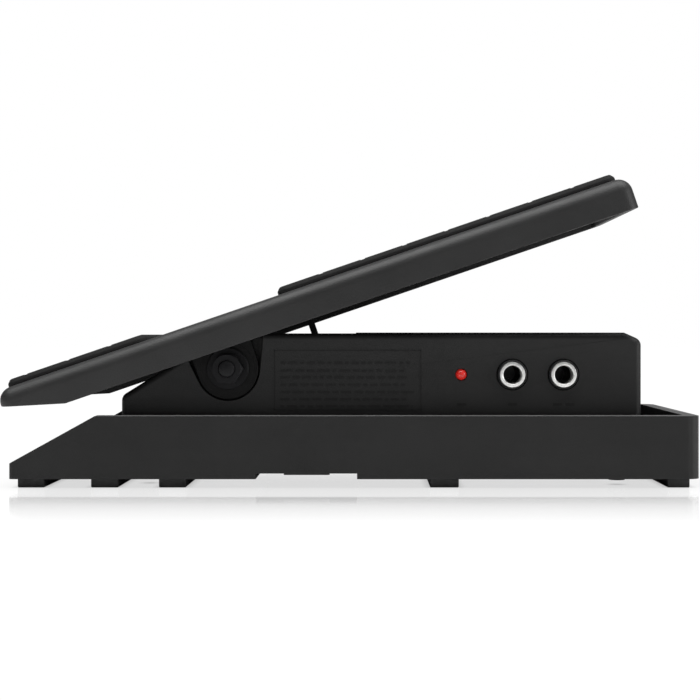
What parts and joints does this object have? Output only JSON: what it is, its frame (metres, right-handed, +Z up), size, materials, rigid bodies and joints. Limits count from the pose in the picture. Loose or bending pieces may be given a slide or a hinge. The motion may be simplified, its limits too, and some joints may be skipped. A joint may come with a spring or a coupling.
{
  "type": "volume pedal",
  "caption": "Foot-operated volume pedal: a ribbed treadle rocks on a through-bolt above a wide base tray and turns a potentiometer by a toothed sector.",
  "frame": {"origin": "on the floor, under the middle of the whole outline", "axes": "+X from heel to toe along the pedal, +Y towards the side with the outputs, +Z up"},
  "size_m": [0.2444, 0.105, 0.1099],
  "materials": {
    "base_plastic": "fine moulded texture, charcoal black",
    "housing_plastic": "fine moulded texture, black",
    "treadle_plastic": "fine moulded texture, charcoal black",
    "pad_rubber": "ribbed matt rubber",
    "foot_rubber": "matt rubber",
    "black_nylon": "smooth black",
    "white_nylon": "smooth natural nylon",
    "black_steel": "black oxide",
    "zinc_steel": "zinc plated",
    "bright_nickel": "bright nickel plate",
    "bronze": "sintered bronze",
    "battery_case": "plain painted steel can",
    "circuit_board": "green solder mask",
    "red_lens": "clear red, glossy"
  },
  "bodies": {
    "base": {"base_frame": "base_plastic", "bottom_plate": "base_plastic", "housing": "housing_plastic", "battery_box": "housing_plastic", "battery": "battery_case", "battery_snap": "black_nylon", "battery_led": "red_lens", "dc_jack": "black_nylon", "pot_bracket": "zinc_steel", "potentiometer": "zinc_steel", "pot_nut": "zinc_steel", "main_board": "circuit_board", "op_amp_chip": "black_nylon", "capacitor_1": "zinc_steel", "capacitor_2": "zinc_steel", "pivot_bolt": "black_steel", "pivot_nut": "black_steel", "pivot_washer_near": "black_steel", "pivot_washer_far": "black_steel", "friction_washer_near": "white_nylon", "friction_washer_far": "white_nylon", "foot_strip_1": "foot_rubber", "foot_strip_2": "foot_rubber", "foot_strip_3": "foot_rubber", "foot_strip_4": "foot_rubber", "foot_strip_5": "foot_rubber", "plate_screw_1": "black_steel", "plate_screw_2": "black_steel", "plate_screw_3": "black_steel", "plate_screw_4": "black_steel", "input_jack_1": "black_nylon", "input_ferrule_1": "bright_nickel", "input_jack_2": "black_nylon", "input_ferrule_2": "bright_nickel", "output_jack_1": "black_nylon", "output_ferrule_1": "bright_nickel", "output_jack_2": "black_nylon", "output_ferrule_2": "bright_nickel"},
    "treadle": {"treadle_shell": "treadle_plastic", "toe_pad": "pad_rubber", "heel_pad": "pad_rubber", "sector_rack": "black_nylon", "rack_screw_1": "zinc_steel", "rack_screw_2": "zinc_steel", "bush_near": "bronze", "bush_far": "bronze", "toe_stop_near": "foot_rubber", "toe_stop_far": "foot_rubber"},
    "pinion": {"pot_shaft": "zinc_steel", "pinion_gear": "white_nylon"},
    "door": {"battery_door": "base_plastic"}
  },
  "joints": [
    {"name": "treadle_tilt", "type": "hinge", "parent": "base", "child": "treadle", "pos_m": [-0.04272, 0, 0.0414], "axis": [0, 1, 0], "range_deg": [-8.5, 18.5]},
    {"name": "pinion_spin", "type": "hinge", "parent": "base", "child": "pinion", "pos_m": [-0.00692, 0, 0.03764], "axis": [0, 1, 0], "range_deg": [-150, 70]},
    {"name": "battery_door_hinge", "type": "hinge", "parent": "base", "child": "door", "pos_m": [-0.01482, 0.0095, 0.0065], "axis": [1, 0, 0], "range_deg": [0, 80]}
  ],
  "couplings": [
    {"joint": "pinion_spin", "follows": "treadle_tilt", "ratio": -8}
  ]
}
